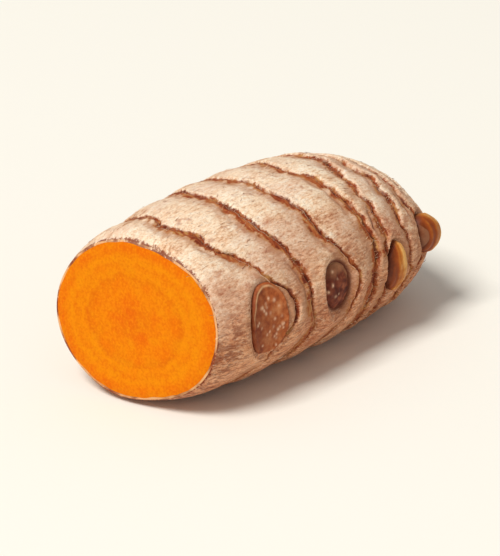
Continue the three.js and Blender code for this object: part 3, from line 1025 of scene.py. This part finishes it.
def scar_material():
    """The scar of an old shoot: corky tissue that dried where the shoot broke off. The eye sees matt
    red-brown, darker in a pit, with pale dots where the veins ended. A painted shade darkens the dish on
    its side toward the cut, and a painted highlight lightens one side of its rim."""
    material, tree = new_material("dried scar tissue")
    at = add_node(tree, "TexCoord", output="Object")
    kept = {}
    for name in ("speck", "wrapped", "rim", "outward", "vein", "toward_tip"):
        kept[name] = add_node(tree, "Attribute", output="Fac", attribute_name=name)
    # Corky lumps of 0.9 mm, with smaller ones in them.
    mottle = add_node(tree, "TexNoise", {"Vector": at, "Scale": 1 / 0.9 / MM, "Detail": 5.0})
    fresh = add_node(tree, "ValToRGB", {"Fac": mottle}, stops=[
        (0.32, 0x8A3E1C), (0.5, 0xAE5C2E), (0.7, 0xC67E4E),
    ])
    old = add_node(tree, "ValToRGB", {"Fac": mottle}, stops=[
        (0.36, 0x48180E), (0.52, 0x6E301E), (0.7, 0x9A5436),
    ])
    seam = add_node(tree, "MapRange", {
        "Value": kept["outward"], "From Min": 0.92, "From Max": 0.97, "To Max": 0.9,
    })
    # Painted shade over the half of the dish toward the cut.
    painted_dish_shade = add_node(tree, "MapRange", {
        "Value": kept["toward_tip"], "From Min": 0.3, "From Max": -0.8, "To Max": 0.6,
    })
    colour = fresh
    for shown, tint in (
        (kept["wrapped"], old),
        (kept["vein"], 0xA06C4C),
        (painted_dish_shade, 0x74301A),
        (kept["speck"], 0xF4C8A4),
        # Painted highlight on the rim.
        (kept["rim"], 0xE6B888),
        (seam, 0x6A3420),
    ):
        colour = add_node(tree, "Mix", {0: shown, 6: colour, 7: tint}, output=2, data_type="RGBA")
    bump = add_node(tree, "Bump", {"Strength": 0.7, "Distance": 0.16 * MM, "Height": mottle})
    surface = add_node(tree, "BsdfPrincipled", {
        "Base Color": colour, "Roughness": 0.65, "Normal": bump, "Specular IOR Level": 0.2,
    })
    add_node(tree, "OutputMaterial", {"Surface": surface})
    return material


def bud_material():
    """Bud scale: tight, smooth leaf tissue that grew wrapped. The eye sees a satin amber, streaked
    lengthwise and browner where an older scale still covers it. Its colour along the bud is painted light:
    shade on the side toward the cut, a highlight past the middle, and darker again at the far edge."""
    material, tree = new_material("amber bud scale")
    at = add_node(tree, "TexCoord", output="Object")
    kept = {}
    for name in ("toward_tip", "wrapped", "outward", "vein"):
        kept[name] = add_node(tree, "Attribute", output="Fac", attribute_name=name)
    # Blotches of 0.7 mm.
    mottle = add_node(tree, "TexNoise", {"Vector": at, "Scale": 1 / 0.7 / MM, "Detail": 4.0})
    place = kept["toward_tip"]
    for value, share in ((mottle, 0.5), (kept["vein"], 0.28)):
        place = add_node(tree, "Math", {0: value, 1: share, 2: place}, operation="MULTIPLY_ADD")
    place = add_node(tree, "MapRange", {"Value": place, "From Min": -0.75, "From Max": 1.25})
    # Along the bud: painted shade toward the cut, a painted highlight at the pale stop, painted shade past
    # it.
    colour = add_node(tree, "ValToRGB", {"Fac": place}, stops=[
        (0.0, 0x642808), (0.3, 0x964410), (0.48, 0xC07226),
        (0.62, 0xE6B066), (0.76, 0xC88440), (0.95, 0x7E3E18),
    ])
    seam = add_node(tree, "MapRange", {
        "Value": kept["outward"], "From Min": 0.86, "From Max": 0.96, "To Max": 0.9,
    })
    ribs = add_node(tree, "Math", {0: kept["vein"], 1: -0.35, 2: mottle}, operation="MULTIPLY_ADD")
    brown = add_node(tree, "Math", {0: kept["wrapped"], 1: ribs}, operation="MULTIPLY")
    brown = add_node(tree, "Math", {0: brown, 1: 1.6}, operation="MULTIPLY", use_clamp=True)
    for shown, tint in ((brown, 0x8E5A3C), (seam, 0x5A2A1A)):
        colour = add_node(tree, "Mix", {0: shown, 6: colour, 7: tint}, output=2, data_type="RGBA")
    streaked = add_node(tree, "Math", {0: kept["vein"], 1: 0.4, 2: mottle}, operation="MULTIPLY_ADD")
    bump = add_node(tree, "Bump", {"Strength": 0.5, "Distance": 0.12 * MM, "Height": streaked})
    surface = add_node(tree, "BsdfPrincipled", {
        "Base Color": colour, "Roughness": 0.5, "Normal": bump, "Specular IOR Level": 0.25,
        "Subsurface Weight": 0.1, "Subsurface Radius": (1.0, 0.5, 0.2), "Subsurface Scale": 0.6 * MM,
    })
    add_node(tree, "OutputMaterial", {"Surface": surface})
    return material


def sheath_material():
    """What is left of a leaf sheath: dry tissue as thin as paper, torn by hand. The eye sees red-brown with a
    paler amber edge."""
    material, tree = new_material("torn papery sheath")
    at = add_node(tree, "TexCoord", output="Object")
    outward = add_node(tree, "Attribute", output="Fac", attribute_name="outward")
    # Blotches of 0.8 mm.
    mottle = add_node(tree, "TexNoise", {"Vector": at, "Scale": 1 / 0.8 / MM, "Detail": 3.0})
    place = add_node(tree, "Math", {0: outward, 1: 0.6}, operation="MULTIPLY")
    place = add_node(tree, "Math", {0: mottle, 1: 0.5, 2: place}, operation="MULTIPLY_ADD")
    colour = add_node(tree, "ValToRGB", {"Fac": place}, stops=[
        (0.18, 0xA8693E), (0.37, 0x8C4424), (0.58, 0x9A5228), (0.8, 0xB97C48),
    ])
    surface = add_node(tree, "BsdfPrincipled", {"Base Color": colour, "Roughness": 0.6})
    add_node(tree, "OutputMaterial", {"Surface": surface})
    return material


def fibre_material():
    """Sheath fibre: dry plant fibre left where leaves frayed. The eye sees thin strands, rust to straw."""
    material, tree = new_material("dry sheath fibre")
    tone = add_node(tree, "Attribute", output="Fac", attribute_name="tone")
    colour = add_node(tree, "ValToRGB", {"Fac": tone}, stops=[
        (0.0, 0x8A4526), (0.45, 0xB67E54), (1.0, 0xF0D8B8),
    ])
    surface = add_node(tree, "BsdfPrincipled", {"Base Color": colour, "Roughness": 0.7})
    add_node(tree, "OutputMaterial", {"Surface": surface})
    return material


def make_materials():
    return {
        "skin": skin_material(),
        "flesh": flesh_material(),
        "scar": scar_material(),
        "bud": bud_material(),
        "sheath": sheath_material(),
        "fibre": fibre_material(),
    }


# Stage, light and camera, with lengths in metres and the lens and its sensor in millimetres

FLOOR_SIZE = 4
DAYLIGHT = 0.36
KEY_PLACE = Vector((-1.4, 0.1, 2.1))
KEY_SIZE = 0.9
KEY_POWER = 57
CAMERA_AZIMUTH = -48.6
CAMERA_ELEVATION = 25.2
CAMERA_DISTANCE = 0.4
CAMERA_LENS = 215
CAMERA_SENSOR = 36
CAMERA_NEAREST = 0.01
CAMERA_AIM = Vector((-0.0017, 0.0004, 0.0081))


def camera_back():
    """The direction from what the camera looks at to the camera."""
    azimuth = math.radians(CAMERA_AZIMUTH)
    elevation = math.radians(CAMERA_ELEVATION)
    flat = math.cos(elevation)
    return Vector((math.sin(azimuth) * flat, -math.cos(azimuth) * flat, math.sin(elevation)))


def add_light(name, place, size, power, colour):
    """A square lamp turned to what the camera looks at."""
    light = bpy.data.lights.new(name, "AREA")
    light.size = size
    light.energy = power
    light.color = linear(colour)[:3]
    lamp = bpy.data.objects.new(name, light)
    bpy.context.scene.collection.objects.link(lamp)
    lamp.location = place
    lamp.rotation_euler = (CAMERA_AIM - lamp.location).to_track_quat("-Z", "Y").to_euler()


def make_stage():
    """The pale board under the finger, soft daylight, one key lamp and the camera."""
    bpy.ops.object.select_all(action="DESELECT")
    bpy.ops.mesh.primitive_plane_add(size=FLOOR_SIZE)
    floor = bpy.context.object
    floor.name = "floor"
    material, tree = new_material("pale matt board")
    surface = add_node(tree, "BsdfPrincipled", {
        "Base Color": 0xF7F4EB, "Roughness": 0.9, "Specular IOR Level": 0.1,
    })
    add_node(tree, "OutputMaterial", {"Surface": surface})
    floor.data.materials.append(material)

    world = bpy.data.worlds.new("soft daylight")
    bpy.context.scene.world = world
    world.use_nodes = True
    sky = world.node_tree.nodes["Background"]
    sky.inputs["Color"].default_value = linear(0xFFFDFA)
    sky.inputs["Strength"].default_value = DAYLIGHT
    add_light("key", KEY_PLACE, KEY_SIZE, KEY_POWER, 0xFFFDF9)

    camera = bpy.data.cameras.new("camera")
    camera.lens = CAMERA_LENS
    camera.sensor_width = CAMERA_SENSOR
    camera.clip_start = CAMERA_NEAREST
    holder = bpy.data.objects.new("camera", camera)
    bpy.context.scene.collection.objects.link(holder)
    holder.location = CAMERA_AIM + camera_back() * CAMERA_DISTANCE
    holder.rotation_euler = camera_back().to_track_quat("Z", "Y").to_euler()
    bpy.context.scene.camera = holder
    bpy.context.scene.view_settings.view_transform = "Standard"


main()
